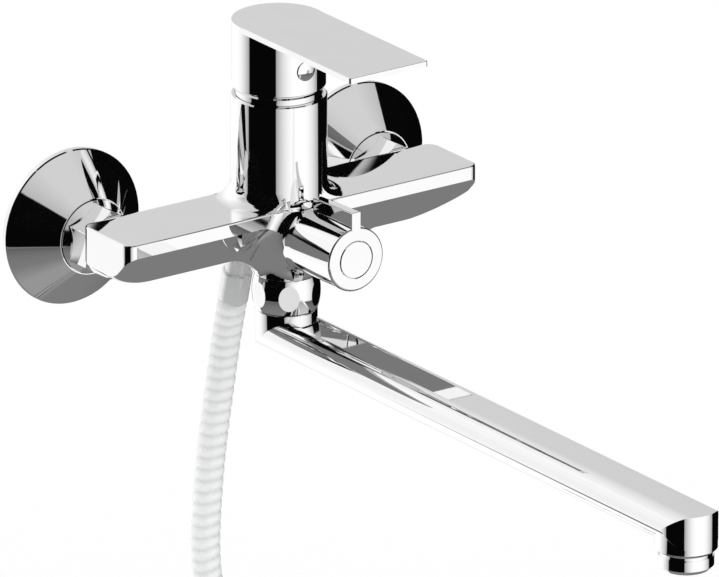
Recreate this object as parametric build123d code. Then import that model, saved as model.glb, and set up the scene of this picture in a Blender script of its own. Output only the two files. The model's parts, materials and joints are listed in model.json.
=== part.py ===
from build123d import *
import math
import os

# Wall mounted single-lever bath mixer with a long swivel spout and a shower hose.
# Millimetres. The valve is modelled about its own axis: X to the right, Y into the wall (the
# finished wall is y = 0) and Z up, with z = 0 on the axis of the union nuts. write() then lifts
# every piece by the unions' eccentric offset, so that the file's origin is midway between the
# two supply inlets, on the finished wall.

# --- fits -------------------------------------------------------------------------------------
running_fit = 0.06          # radial, a shaft that turns in its bore
thread_fit = 0.10           # radial, between two plain-modelled threads
press_fit = 0.02            # radial, pieces pushed together for good
slide_gap = 0.30            # between pieces that pass one another
seat_gap = 0.10             # between two pieces of one assembly that are seated
hidden_gap = 0.40           # shadow gap between a moving trim piece and a fixed one

# --- supply side --------------------------------------------------------------------------------
inlet_pitch = 150.0
supply_thread_r = 10.48     # G 1/2
supply_thread_length = 18.0
union_offset = 8.0          # eccentricity of each S-union
union_bore_r = 6.5
union_thread_r = 12.0       # M24 x 1.5
union_face_y = -20.3        # where the washer sits
eccentric_front_y = -9.0
eccentric_back_y = -1.5
escutcheon_r = 34.8
escutcheon_rim = 3.0
escutcheon_sheet = 0.9
escutcheon_front_y = -18.3
escutcheon_front_r = 17.1
escutcheon_seat_y = -15.8   # the web behind the nut's flange
nut_flange_r = 16.4
nut_flange_back_y = -16.1
nut_flange_front_y = -18.9
nut_across_flats = 27.2
nut_end_gap = 0.7           # between the nut and the body
washer_thickness = 2.0
washer_bore_r = 7.4
nipple_flange_thickness = 2.2
nipple_thread_r = 9.4
nipple_depth = 11.0         # how far the nipple screws into the body

# --- body casting -------------------------------------------------------------------------------
body_half_length = 92.0
body_rear_y = -34.0
body_front_y = -69.8
body_top_z = 13.3
body_band = 6.1             # upright band along the front, above the sloping facet
body_keel_z = -14.5
keel_radius = 2.5
end_curve_length = 27.0     # the underside sweeps up to each end in a quarter ellipse
end_curve_height = 11.8
body_corner_r = 4.6
body_edge_r = 0.8
tower_y = -50.4
tower_r = 20.9
tower_top_z = 59.6
tower_cove = 5.5
knob_boss_r = 15.4
knob_boss_front_y = -78.6
knob_boss_cove = 3.5
spout_y = -55.7
spout_boss_r = 13.7
spout_boss_bottom_z = -20.5
spout_boss_cove = 5.5
outlet_boss_r = 11.5
outlet_elbow_y = -25.5
outlet_elbow_z = -5.5
outlet_tilt = 14.5          # degrees, the shower outlet leans back to the wall
outlet_boss_length = 2.0
arm_duct_r = 4.5
arm_duct_y = -45.0
arm_duct_z = 6.0
riser_x = 9.0
riser_r = 4.0
mixed_port_y = -61.0
diverter_chamber_r = 8.5
diverter_chamber_end_y = -52.0
headwork_seat_y = -66.0
shower_duct_r = 4.0

# --- cartridge (35 mm ceramic) ------------------------------------------------------------------
pivot_z = 59.5              # the lever's lift axis
stem_arm = 11.0             # from the lift axis down to the ball that pushes the moving disc
lift_degrees = 25.0
cartridge_floor_z = 22.0
cartridge_r = 17.4
cartridge_wall = 2.0
cartridge_base_height = 12.0
disc_thickness = 4.0
moving_disc_r = 10.2
disc_driver_height = 7.4
housing_top_wall = 1.5
housing_neck_r = 12.8
carrier_neck_r = 11.0
carrier_flange_height = 2.2
carrier_top_z = 64.0
carrier_slot_width = 8.8
carrier_slot_length = 18.0
stem_width = 8.0
stem_top_z = 82.0
stem_ball_r = 3.0
lever_pin_r = 2.0
cartridge_nut_thread_r = 19.0
cartridge_nut_head_r = 15.0
spanner_flat = 14.0         # from the nut's axis to each of its two flats
cartridge_nut_top_z = 63.4
dome_r = 18.8               # a sphere round the lift axis, so that the lever tips over it
dome_top_z = 66.5
dome_hole_r = 12.6

# --- lever --------------------------------------------------------------------------------------
handle_r = 20.35
handle_bottom_z = 62.3
handle_chamfer = 1.2
handle_chamfer_height = 2.0
handle_top_z = 93.2
plate_thickness = 2.5
plate_reach = 82.0          # from the tower's axis to the plate's front edge
plate_corner_r = 1.2
plate_edge_r = 0.35
handle_bore_r = 18.95
handle_cavity_top_z = 87.0
handle_hub_r = 7.6
handle_hub_bottom_z = 71.6
plug_z = 75.0
plug_r = 4.4
plug_shank_r = 3.4
plug_length = 5.0
plug_recess = 0.8
plug_proud = 0.3
plug_dome = 0.9
plug_boss_r = 5.6
grub_r = 2.5
grub_length = 6.5

# --- diverter -----------------------------------------------------------------------------------
knob_r = 14.3
knob_rear_y = -79.0
knob_front_y = -108.0
knob_edge_r = 1.0
knob_cavity_r = 11.6
knob_cavity_end_y = -97.0
knob_hub_r = 6.4
knob_hub_rear_y = -90.0
fin_width = 4.4
fin_top_z = 21.6
fin_drop = 1.4              # the fin is lower at its rear end
knob_cap_r = 8.3
knob_cap_thickness = 2.0
knob_cap_groove = 0.35
spindle_r = 3.8
spindle_front_y = -98.5
knob_screw_r = 2.0
knob_screw_head_r = 3.6
knob_screw_head_height = 2.6
headwork_thread_r = 9.4
headwork_flange_r = 10.9
headwork_flange_front_y = -81.4
headwork_neck_r = 6.4
headwork_neck_front_y = -88.6
headwork_skirt_r = 8.3
headwork_skirt_bore_r = 7.2
diverter_disc_r = 7.0
diverter_disc_thickness = 2.6
diverter_port_r = 1.9

# --- spout --------------------------------------------------------------------------------------
spout_reach = 292.5
spout_collar_r = 13.6
spout_half_width = 13.5
spout_height = 15.1
spout_top_z = -39.45
spout_wall = 1.3
spout_tip_r = 13.4
spout_tip_bottom_z = -58.3
spout_tip_chamfer = 1.5
spout_nut_top_z = -20.7
spout_nut_bottom_z = -36.1
spout_nut_end_r = 13.65
spout_nut_mid_r = 14.95
spout_nut_flat = 14.25      # from the axis to each of the six flats
spout_thread_r = 12.2
spigot_bottom_z = -30.2
spigot_bore_r = 9.4
spigot_bore_top_z = -14.0
tail_top_z = -15.0
tail_bore_r = 6.6
tail_groove_depth = 1.9
o_ring_r = 0.9
tail_ring_height = 2.1
tail_ring_shoulder = 1.0
aerator_thread_r = 10.95
aerator_thread_top_z = -51.5
aerator_neck_r = 11.2
aerator_r = 11.9
aerator_neck_height = 1.6
aerator_bottom_z = -66.5
aerator_chamfer = 2.0
aerator_bore_r = 8.9
aerator_insert_top_z = -52.0
aerator_ribs = 8

# --- shower outlet and hose ---------------------------------------------------------------------
outlet_nipple_end = 11.0    # distances along the outlet's tilted axis, from the elbow's centre
outlet_bore_r = 6.0
hose_nut_start = 2.6
hose_nut_end = 14.0
hose_nut_cone_end = 18.0
hose_nut_r = 12.0
hose_washer_thickness = 2.0
hose_neck_r = 5.6
ferrule_start = 26.0
ferrule_end = 41.0
ferrule_r = 6.7
hose_diameter = 13.0
hose_wall_gap = 1.7
hose_bend_start_z = -170.0  # where the hanging hose begins to turn into its coil
hose_bend_degrees = 60.0
hose_bend_r = 70.0
coil_r = 65.0
coil_pitch = 14.5
coil_turns = 3 + hose_bend_degrees / 360
coil_end_gap = 12.8         # from the end fittings' axis to the full turns beside them
cone_nut_length = 26.0
cone_nut_wide_r = 12.0
cone_nut_bore_r = 10.5
cone_nut_thread_depth = 9.0
end_ferrule_length = 17.0
tie_width = 14.0
tie_thickness = 1.6

# --- places worked out from the sizes -----------------------------------------------------------
quarter = 90                # degrees
front = Vector(0, -1, 0)
back = Vector(0, 1, 0)
up = Vector(0, 0, 1)
down = Vector(0, 0, -1)
inlet_x = inlet_pitch / 2
tower_axis = Vector(0, tower_y, 0)
spout_axis = Vector(0, spout_y, 0)
tip_axis = Vector(0, spout_y - spout_reach, 0)
outlet_elbow = Vector(0, outlet_elbow_y, outlet_elbow_z)
outlet_dir = Vector(0, math.sin(math.radians(outlet_tilt)), -math.cos(math.radians(outlet_tilt)))
nut_front_y = body_rear_y + nut_end_gap
washer_face_y = union_face_y - washer_thickness
nipple_seat_y = washer_face_y - nipple_flange_thickness
keel_y = body_front_y + (body_top_z - body_band - body_keel_z)
fixed_disc_z = cartridge_floor_z + cartridge_base_height
moving_disc_z = fixed_disc_z + disc_thickness
driver_z = moving_disc_z + disc_thickness
driver_top_z = driver_z + disc_driver_height
carrier_flange_z = driver_top_z + slide_gap
housing_ceiling_z = carrier_flange_z + carrier_flange_height + seat_gap
housing_shoulder_z = housing_ceiling_z + housing_top_wall
stem_ball_z = pivot_z - stem_arm
tail_r = spigot_bore_r - running_fit
tail_ring_top_z = spigot_bottom_z - seat_gap
nut_shoulder_z = tail_ring_top_z - tail_ring_height - seat_gap
plate_under_z = handle_top_z - plate_thickness
spout_mid_z = spout_top_z - spout_height / 2
spout_bottom_z = spout_top_z - spout_height
hose_r = hose_diameter / 2


# --- tools --------------------------------------------------------------------------------------
def rod(radius, start, direction, length):
    """A round bar from start, along direction."""
    bar = Solid.make_cylinder(radius, length)
    return Plane(origin=start, z_dir=direction).location * bar


def turned(profile, start, direction):
    """A turned piece: profile lists (radius, height) points round its section."""
    section = make_face(Plane.XZ * Polyline(*profile, close=True))
    piece = revolve(section, Axis.Z)
    return Plane(origin=start, z_dir=direction).location * piece


def ring(outer_r, inner_r, start, direction, height):
    """A plain ring from start, along direction."""
    profile = [(inner_r, 0), (outer_r, 0), (outer_r, height), (inner_r, height)]
    return turned(profile, start, direction)


def o_ring(mean_r, section_r, centre, direction):
    """A round-section ring round direction."""
    return Plane(origin=centre, z_dir=direction).location * Solid.make_torus(mean_r, section_r)


def cove(shaft_r, cove_r):
    """The (radius, height) points of a hollow fillet at the foot of a shaft, which starts at 0."""
    steps = 10
    points = [(shaft_r - 1, 0)]
    for i in range(steps + 1):
        angle = math.radians(90 * i / steps)
        points.append((shaft_r + cove_r - cove_r * math.sin(angle), cove_r - cove_r * math.cos(angle)))
    points.append((shaft_r - 1, cove_r))
    return points


def hexagon(across_flats, start, direction, length):
    """A hexagonal bar with a corner on its own Y axis."""
    bar = extrude(RegularPolygon(across_flats / 2, 6, major_radius=False, rotation=30), length)
    return Plane(origin=start, z_dir=direction, x_dir=Vector(1, 0, 0)).location * bar


def along_outlet(distance):
    return outlet_elbow + outlet_dir * distance


def write(name, shape):
    """Writes one piece, lifted to the file's own origin."""
    piece = Pos(0, 0, union_offset) * shape
    piece.label = name
    export_step(piece, f"parts/{name}.step")
    return piece


# --- supply side --------------------------------------------------------------------------------
def eccentric_union(x):
    """S-union: wall thread below, union thread on the valve's axis, joined by a short cranked neck."""
    supply = Vector(x, 0, -union_offset)
    outlet = Vector(x, 0, 0)
    wall_thread = rod(supply_thread_r, supply + back * supply_thread_length, front,
                      supply_thread_length - eccentric_back_y)
    neck_length = eccentric_back_y - eccentric_front_y
    neck_start = eccentric_back_y * back
    lower = rod(supply_thread_r + 1, supply + neck_start, front, neck_length)
    upper = rod(union_thread_r, outlet + neck_start, front, neck_length)
    web = Pos(x, (eccentric_back_y + eccentric_front_y) / 2, -union_offset / 2) * Box(
        2 * supply_thread_r, neck_length, union_offset)
    union_thread = rod(union_thread_r - thread_fit, outlet + eccentric_front_y * back, front,
                       eccentric_front_y - union_face_y)
    supply_bore = rod(union_bore_r, supply + back * supply_thread_length, front,
                      supply_thread_length - eccentric_front_y - 1.5)
    union_bore = rod(union_bore_r, outlet + (eccentric_back_y - 1.5) * back, front,
                     eccentric_back_y - 1.5 - union_face_y)
    return wall_thread + lower + upper + web + union_thread - supply_bore - union_bore


def escutcheon(x):
    """Pressed cover: a short rim against the wall and a straight cone whose mouth takes the nut's flange."""
    rim_y = escutcheon_rim
    depth = -escutcheon_front_y
    seat = -escutcheon_seat_y
    hole_r = union_thread_r + slide_gap
    outside = [(0, 0), (escutcheon_r, 0), (escutcheon_r, rim_y - 0.6), (escutcheon_r - 0.5, rim_y),
               (escutcheon_front_r, depth), (0, depth)]
    sheet = escutcheon_sheet
    slope = (escutcheon_r - escutcheon_front_r) / (depth - rim_y)
    web_r = escutcheon_front_r + slope * (depth - seat)
    inside = [(0, -1), (escutcheon_r - sheet, -1), (escutcheon_r - sheet, rim_y - sheet / 2),
              (web_r - sheet, seat - sheet), (0, seat - sheet)]
    centre = Vector(x, 0, 0)
    shell = turned(outside, centre, front) - turned(inside, centre, front)
    flange_seat = rod(nut_flange_r + slide_gap, centre + escutcheon_seat_y * back, front, depth)
    return shell - rod(hole_r, centre, front, depth + 1) - flange_seat


def union_nut(x):
    """Nut with a round flange behind a hexagon; its shoulder holds the body's inlet nipple."""
    centre = Vector(x, 0, 0)
    length = nut_flange_back_y - nut_front_y
    corner_r = nut_across_flats / math.sqrt(3)
    hexagon_bar = hexagon(nut_across_flats, centre + nut_flange_back_y * back, front, length)
    flange_depth = nut_flange_back_y - nut_flange_front_y
    envelope = turned([(0, 0), (nut_flange_r - 0.7, 0), (nut_flange_r, 0.7), (nut_flange_r, flange_depth),
                       (corner_r - 0.1, flange_depth + 1.6), (corner_r - 0.1, length - 1.2),
                       (corner_r - 1.6, length), (0, length)],
                      centre + nut_flange_back_y * back, front)
    flange = turned([(0, 0), (nut_flange_r - 0.7, 0), (nut_flange_r, 0.7), (nut_flange_r, flange_depth),
                     (nut_across_flats / 2 - 0.2, flange_depth + 2.4), (0, flange_depth + 2.4)],
                    centre + nut_flange_back_y * back, front)
    thread = rod(union_thread_r, centre + nut_flange_back_y * back, front,
                 nut_flange_back_y - nipple_seat_y + seat_gap)
    passage = rod(nipple_thread_r + seat_gap, centre + nut_flange_back_y * back, front, length + 1)
    return ((hexagon_bar & envelope) + flange) - thread - passage


def union_washer(x):
    return ring(union_thread_r - 0.4, washer_bore_r, Vector(x, union_face_y, 0), front, washer_thickness)


def inlet_nipple(x):
    """Flanged nipple screwed into the body, with a hexagon socket for its key."""
    reach = nipple_seat_y - body_rear_y + nipple_depth
    flange = rod(union_thread_r - 0.4, Vector(x, washer_face_y, 0), front, nipple_flange_thickness)
    shank = rod(nipple_thread_r, Vector(x, nipple_seat_y, 0), front, reach)
    bore = rod(union_bore_r - 1, Vector(x, washer_face_y, 0), front, reach + nipple_flange_thickness)
    socket = hexagon(2 * union_bore_r, Vector(x, washer_face_y, 0), front, 9)
    return flange + shank - bore - socket


# --- body casting -------------------------------------------------------------------------------
def body_bar():
    """The bar: a flat top over a V-shaped underside, whose ends sweep up like a hull."""
    band_z = body_top_z - body_band
    rear_z = body_keel_z + (body_rear_y - keel_y)
    section = [(body_rear_y, body_top_z), (body_front_y, body_top_z), (body_front_y, band_z),
               (keel_y, body_keel_z), (body_rear_y, rear_z)]
    outline = make_face(Plane.YZ * Polyline(*section, close=True))
    keel = [v for v in outline.vertices() if abs(v.Z - body_keel_z) < 0.01]
    outline = fillet(keel, keel_radius)
    bar = extrude(outline, body_half_length, both=True)
    foot_z = body_keel_z
    turn_z = foot_z + end_curve_height
    foot_x = body_half_length - end_curve_length
    right = EllipticalCenterArc((foot_x, turn_z), end_curve_length, end_curve_height,
                                start_angle=3 * quarter, arc_size=quarter)
    left = EllipticalCenterArc((-foot_x, turn_z), end_curve_length, end_curve_height,
                               start_angle=2 * quarter, arc_size=quarter)
    edges = [Line((-foot_x, foot_z), (foot_x, foot_z)), right,
             Line((body_half_length, turn_z), (body_half_length, body_top_z)),
             Line((body_half_length, body_top_z), (-body_half_length, body_top_z)),
             Line((-body_half_length, body_top_z), (-body_half_length, turn_z)), left]
    profile = make_face(Plane.XZ * Wire(edges))
    sweep = extrude(profile, 2 * abs(body_front_y), both=True)
    depth = body_rear_y - body_front_y
    plan = Pos(0, (body_rear_y + body_front_y) / 2, 0) * RectangleRounded(
        2 * body_half_length, depth, body_corner_r)
    corners = Pos(0, 0, body_keel_z - 1) * extrude(plan, body_top_z - body_keel_z + 1)
    bar = bar & sweep & corners
    top_edges = bar.faces().sort_by(Axis.Z)[-1].edges()
    return fillet(top_edges, body_edge_r)


def body_outside():
    bar = body_bar()
    tower = rod(tower_r, tower_axis, up, tower_top_z)
    tower = chamfer(tower.faces().sort_by(Axis.Z)[-1].edges(), 0.5)
    foot = turned(cove(tower_r, tower_cove), tower_axis + up * body_top_z, up)
    over_bar = Pos(0, (body_rear_y + body_front_y) / 2, body_top_z) * Box(
        2 * body_half_length, body_rear_y - body_front_y - 2 * body_edge_r, 2 * tower_cove)
    foot = foot & over_bar
    boss_length = body_front_y - knob_boss_front_y
    knob_boss = rod(knob_boss_r, Vector(0, tower_y, 0), front, tower_y - knob_boss_front_y)
    knob_boss = fillet(knob_boss.faces().sort_by(Axis.Y)[0].edges(), 0.8)
    boss_foot = turned(cove(knob_boss_r, knob_boss_cove), Vector(0, body_front_y, 0), front)
    spout_boss = rod(spout_boss_r, spout_axis + up * spout_boss_bottom_z, up, -spout_boss_bottom_z)
    boss_top_z = spout_boss_bottom_z + 2.0
    flare = turned([(r, -h) for r, h in cove(spout_boss_r, spout_boss_cove)],
                   spout_axis + up * (boss_top_z + spout_boss_cove), up)
    belly = rod(spout_boss_r + spout_boss_cove, spout_axis + up * (boss_top_z + spout_boss_cove), up,
                -(boss_top_z + spout_boss_cove))
    spigot = rod(spout_thread_r, spout_axis + up * spigot_bottom_z, up, -spigot_bottom_z)
    elbow = Pos(outlet_elbow) * Sphere(outlet_boss_r)
    arm = rod(outlet_boss_r, outlet_elbow, front, outlet_elbow_y - tower_y)
    outlet = rod(outlet_boss_r, outlet_elbow, outlet_dir, outlet_boss_length)
    face = rod(outlet_boss_r + 2, along_outlet(outlet_boss_length), outlet_dir, 2 * outlet_boss_r)
    solid = bar + tower + foot + knob_boss + boss_foot + belly + flare + spout_boss + spigot
    return solid + (elbow + arm + outlet - face)


def body_casting():
    """Brass casting with its ducts: two supplies up to the cartridge, mixed water down to the diverter."""
    solid = body_outside()
    for side in (-1, 1):
        x = side * inlet_x
        solid -= rod(nipple_thread_r + thread_fit, Vector(x, body_rear_y, 0), front,
                     nipple_depth + seat_gap)
        solid -= rod(union_bore_r, Vector(x, body_rear_y, 0), front, nipple_depth + 4)
        solid -= rod(arm_duct_r, Vector(x, arm_duct_y, arm_duct_z), Vector(-side, 0, 0), inlet_x - riser_x)
        solid -= rod(riser_r, Vector(side * riser_x, arm_duct_y, arm_duct_z), up,
                     cartridge_floor_z - arm_duct_z + 1)
    solid -= rod(cartridge_r + slide_gap, tower_axis + up * cartridge_floor_z, up,
                 tower_top_z - cartridge_floor_z)
    solid -= rod(cartridge_nut_thread_r + thread_fit, tower_axis + up * (housing_shoulder_z - 1), up,
                 tower_top_z - housing_shoulder_z + 2)
    solid -= rod(riser_r, Vector(0, mixed_port_y, 0), up, cartridge_floor_z + 1)
    solid -= rod(headwork_thread_r + thread_fit, Vector(0, knob_boss_front_y, 0), back,
                 headwork_seat_y - knob_boss_front_y)
    solid -= rod(diverter_chamber_r, Vector(0, headwork_seat_y, 0), back,
                 diverter_chamber_end_y - headwork_seat_y)
    solid -= rod(tail_bore_r, spout_axis + up * spigot_bore_top_z, up, diverter_chamber_r)
    solid -= rod(spigot_bore_r, spout_axis + up * spigot_bottom_z, up, spigot_bore_top_z - spigot_bottom_z)
    solid -= rod(shower_duct_r, Vector(0, diverter_chamber_end_y - 1, 0), back,
                 outlet_elbow_y - diverter_chamber_end_y)
    solid -= rod(outlet_bore_r, along_outlet(outlet_boss_length), -outlet_dir, outlet_boss_length + 9)
    return solid


# --- cartridge ----------------------------------------------------------------------------------
def at_tower(z):
    return tower_axis + up * z


def port_positions():
    return [Vector(-riser_x, arm_duct_y, 0), Vector(riser_x, arm_duct_y, 0), Vector(0, mixed_port_y, 0)]


def cartridge_base():
    """Plastic base with two supply ports, one mixed port and the grooves of their seals."""
    base = rod(cartridge_r - press_fit, at_tower(cartridge_floor_z), up, cartridge_base_height)
    for port in port_positions():
        base -= rod(riser_r - 0.6, port + up * cartridge_floor_z, up, cartridge_base_height)
        base -= rod(riser_r + 0.9, port + up * cartridge_floor_z, up, 1.4)
    return base


def base_seals():
    """Three rubber rings in the base, one round each port."""
    seals = [ring(riser_r + 0.8, riser_r - 0.5, port + up * (cartridge_floor_z + 0.05), up, 1.3)
             for port in port_positions()]
    return Compound(seals)


def fixed_disc():
    inner_r = cartridge_r - cartridge_wall - seat_gap
    disc = rod(inner_r, at_tower(fixed_disc_z), up, disc_thickness)
    for x, y in ((-5.5, 5.0), (5.5, 5.0), (0, -7.5)):
        disc -= rod(2.4, Vector(x, tower_y + y, fixed_disc_z), up, disc_thickness)
    return disc


def moving_disc():
    disc = rod(moving_disc_r, at_tower(moving_disc_z), up, disc_thickness)
    return disc - rod(5.0, Vector(0, tower_y - 2.5, moving_disc_z), up, disc_thickness / 2)


def disc_driver():
    """Plastic plate on the moving disc, with the socket of the stem's ball."""
    plate = rod(moving_disc_r, at_tower(driver_z), up, disc_driver_height)
    socket = rod(stem_ball_r + slide_gap + 0.1, at_tower(stem_ball_z - stem_ball_r - 0.5), up,
                 stem_ball_r + 6)
    return plate - socket


def cartridge_housing():
    """Plastic sleeve over discs and carrier, with a shoulder for the retaining nut."""
    inner_r = cartridge_r - cartridge_wall
    neck_top_z = cartridge_nut_top_z - 1.0
    bore_r = carrier_neck_r + running_fit
    profile = [(inner_r, fixed_disc_z), (cartridge_r, fixed_disc_z), (cartridge_r, housing_shoulder_z),
               (housing_neck_r, housing_shoulder_z), (housing_neck_r, neck_top_z), (bore_r, neck_top_z),
               (bore_r, housing_ceiling_z), (inner_r, housing_ceiling_z)]
    return turned(profile, tower_axis, up)


def carrier():
    """Rotating guide: the stem rocks in its slot on a cross pin."""
    flange_r = cartridge_r - cartridge_wall - slide_gap
    flange = rod(flange_r, at_tower(carrier_flange_z), up, carrier_flange_height)
    neck = rod(carrier_neck_r, at_tower(carrier_flange_z), up, carrier_top_z - carrier_flange_z)
    slot_height = carrier_top_z - carrier_flange_z + 2
    slot = Pos(0, tower_y, carrier_flange_z - 1 + slot_height / 2) * Box(
        carrier_slot_width, carrier_slot_length, slot_height)
    pin_hole = rod(lever_pin_r + press_fit, Vector(-tower_r, tower_y, pivot_z), Vector(1, 0, 0), 2 * tower_r)
    return flange + neck - slot - pin_hole


def lever_pin():
    half = carrier_neck_r - 0.2
    return rod(lever_pin_r, Vector(-half, tower_y, pivot_z), Vector(1, 0, 0), 2 * half)


def stem():
    """Brass stem: square above for the handle, a boss on the pin, an arm and a ball below."""
    square = Pos(0, tower_y, (pivot_z + stem_top_z) / 2) * Box(stem_width, stem_width, stem_top_z - pivot_z)
    boss = rod(stem_width / 2 + 0.6, Vector(-stem_width / 2, tower_y, pivot_z), Vector(1, 0, 0), stem_width)
    arm = rod(2.1, at_tower(stem_ball_z), up, stem_arm)
    ball = Pos(at_tower(stem_ball_z)) * Sphere(stem_ball_r)
    pin_hole = rod(lever_pin_r + running_fit, Vector(-stem_width, tower_y, pivot_z), Vector(1, 0, 0),
                   2 * stem_width)
    return square + boss + arm + ball - pin_hole


def cartridge_nut():
    """Retaining nut: thread in the tower's mouth, round head with two spanner flats."""
    start = housing_shoulder_z + seat_gap / 2
    thread_top = tower_top_z - 0.3
    bore_r = housing_neck_r + seat_gap
    profile = [(bore_r, start), (cartridge_nut_thread_r, start), (cartridge_nut_thread_r, thread_top),
               (cartridge_nut_head_r, thread_top), (cartridge_nut_head_r, cartridge_nut_top_z),
               (bore_r, cartridge_nut_top_z)]
    nut = turned(profile, tower_axis, up)
    head_height = cartridge_nut_top_z - thread_top
    for side in (-1, 1):
        nut -= Pos(side * (spanner_flat + cartridge_nut_head_r / 2), tower_y, cartridge_nut_top_z) * Box(
            cartridge_nut_head_r, 2 * cartridge_nut_head_r, 2 * head_height)
    return nut


def dome_ring():
    """Chromed cover over the nut: its foot shows as the neck, and the lever tips over its dome."""
    dome = Pos(at_tower(pivot_z)) * Sphere(dome_r)
    keep = rod(tower_r, at_tower(tower_top_z + seat_gap), up, dome_top_z - tower_top_z - seat_gap)
    inside = rod(cartridge_nut_head_r + seat_gap, at_tower(tower_top_z - 1), up,
                 cartridge_nut_top_z + 2 - tower_top_z)
    hole = rod(dome_hole_r, at_tower(tower_top_z), up, dome_top_z)
    return (dome & keep) - inside - hole


# --- lever --------------------------------------------------------------------------------------
def handle():
    """Cast lever: a hollow cylinder over the tower and a long D-shaped plate, both the same width.

    Behind, the skirt is cut to the plane that the tower's rim reaches when the lever is fully lifted."""
    hub_height = handle_top_z - handle_bottom_z
    outside = turned([(0, 0), (handle_r - handle_chamfer, 0), (handle_r, handle_chamfer_height),
                      (handle_r, hub_height), (0, hub_height)], at_tower(handle_bottom_z), up)
    plan = Pos(0, tower_y) * Circle(handle_r)
    plan += Pos(0, tower_y - plate_reach / 2) * Rectangle(2 * handle_r, plate_reach)
    front_corners = plan.vertices().filter_by(lambda v: v.Y < tower_y - plate_reach + 0.01)
    plan = fillet(front_corners, plate_corner_r)
    plate = Pos(0, 0, plate_under_z) * extrude(plan, plate_thickness)
    plate = fillet(plate.faces().sort_by(Axis.Z)[-1].edges(), plate_edge_r)
    cavity_height = handle_cavity_top_z - handle_bottom_z
    cavity = rod(handle_bore_r, at_tower(handle_bottom_z - 1), up, cavity_height + 1)
    hub = rod(handle_hub_r, at_tower(handle_hub_bottom_z), up, handle_cavity_top_z - handle_hub_bottom_z + 1)
    socket_top = stem_top_z + seat_gap
    socket = Pos(0, tower_y, (handle_bottom_z + socket_top) / 2) * Box(
        stem_width + 2 * seat_gap, stem_width + 2 * seat_gap, socket_top - handle_bottom_z)
    grub_hole = rod(grub_r + press_fit, Vector(0, tower_y, plug_z), front, handle_r + 1)
    plug_boss = rod(plug_boss_r, Vector(0, tower_y, plug_z), front, handle_bore_r + 0.5)
    face = Vector(0, tower_y - handle_r, plug_z)
    plug_hole = rod(plug_shank_r + press_fit, face + back * plug_length, front, 2 * plug_length)
    recess = rod(plug_r + seat_gap, face + back * plug_recess, front, 2 * plug_length)
    clearance = tower_top_z - pivot_z + hidden_gap
    block = 2 * plate_reach
    tipped_tower = Pos(0, tower_y, pivot_z) * Rot(lift_degrees, 0, 0) * Pos(
        0, 0, clearance - block / 2) * Box(block, block, block)
    shell = outside - cavity - tipped_tower
    return shell + plate + hub + plug_boss - socket - grub_hole - plug_hole - recess


def grub_screw():
    """Set screw through the hub on to the stem, with a hexagon socket."""
    tip = Vector(0, tower_y - stem_width / 2 - seat_gap, plug_z)
    return rod(grub_r, tip, front, grub_length) - hexagon(
        2.5, tip + front * (grub_length - 3), front, 4)


def indicator_plug():
    """Push-in plug over the set screw, with a low dome and a small centre dimple."""
    face_y = tower_y - handle_r - plug_proud
    floor_y = tower_y - handle_r + plug_recess
    shank = rod(plug_shank_r, Vector(0, floor_y, plug_z), back, plug_length - plug_recess - seat_gap)
    sphere_r = (plug_r ** 2 + plug_dome ** 2) / (2 * plug_dome)
    head = rod(plug_r, Vector(0, floor_y, plug_z), front, floor_y - face_y)
    dome = Pos(0, face_y - plug_dome + sphere_r, plug_z) * Sphere(sphere_r)
    dome = dome & rod(plug_r, Vector(0, face_y, plug_z), front, 2 * plug_dome)
    dimple = Pos(0, face_y - plug_dome - 0.5, plug_z) * Sphere(0.9)
    return shank + head + dome - dimple


# --- diverter -----------------------------------------------------------------------------------
def diverter_headwork():
    """Brass headwork screwed into the boss; it carries the spindle and the pair of discs."""
    skirt_length = 2 * diverter_disc_thickness + 3.0
    front_y = headwork_neck_front_y
    shell = rod(headwork_thread_r, Vector(0, headwork_seat_y, 0), front, headwork_seat_y - knob_boss_front_y)
    shell += rod(headwork_skirt_r, Vector(0, headwork_seat_y, 0), back, skirt_length)
    shell += hexagon(1.8 * headwork_flange_r, Vector(0, knob_boss_front_y, 0), front,
                     knob_boss_front_y - headwork_flange_front_y) & rod(
        headwork_flange_r, Vector(0, knob_boss_front_y, 0), front, 10)
    shell += rod(headwork_neck_r, Vector(0, knob_boss_front_y, 0), front, knob_boss_front_y - front_y)
    shell -= rod(headwork_skirt_bore_r, Vector(0, headwork_seat_y - 1, 0), back, skirt_length + 1)
    shell -= rod(spindle_r + running_fit, Vector(0, headwork_seat_y, 0), front, headwork_seat_y - front_y + 1)
    windows = Pos(0, headwork_seat_y + 1.5, headwork_skirt_r) * Box(6, 3, 2 * headwork_skirt_r)
    return shell - windows


def diverter_spindle():
    """Spindle with a driving disc behind and two flats in front for the knob."""
    drive_y = headwork_seat_y - 0.8
    shaft = rod(spindle_r, Vector(0, drive_y, 0), front, drive_y - spindle_front_y)
    drive = rod(diverter_disc_r, Vector(0, drive_y + 2.4, 0), front, 2.4)
    flats = Pos(0, (knob_hub_rear_y + spindle_front_y) / 2 - 1, 0)
    for side in (-1, 1):
        shaft -= flats * Pos(0, 0, side * (spindle_r + 2.2)) * Box(20, knob_hub_rear_y - spindle_front_y, 6)
    thread = rod(knob_screw_r + press_fit, Vector(0, spindle_front_y, 0), back, 9)
    return shaft + drive - thread


def diverter_moving_disc():
    start = Vector(0, headwork_seat_y - 0.8 + 2.4, 0)
    disc = rod(diverter_disc_r, start, back, diverter_disc_thickness)
    return disc - rod(diverter_port_r, start + up * 3.8, back, diverter_disc_thickness)


def diverter_fixed_disc():
    start = Vector(0, headwork_seat_y - 0.8 + 2.4 + diverter_disc_thickness, 0)
    disc = rod(diverter_disc_r, start, back, diverter_disc_thickness)
    for port in (Vector(0, 0, 3.8), Vector(3.8, 0, 0)):
        disc -= rod(diverter_port_r, start + port, back, diverter_disc_thickness)
    return disc


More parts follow.
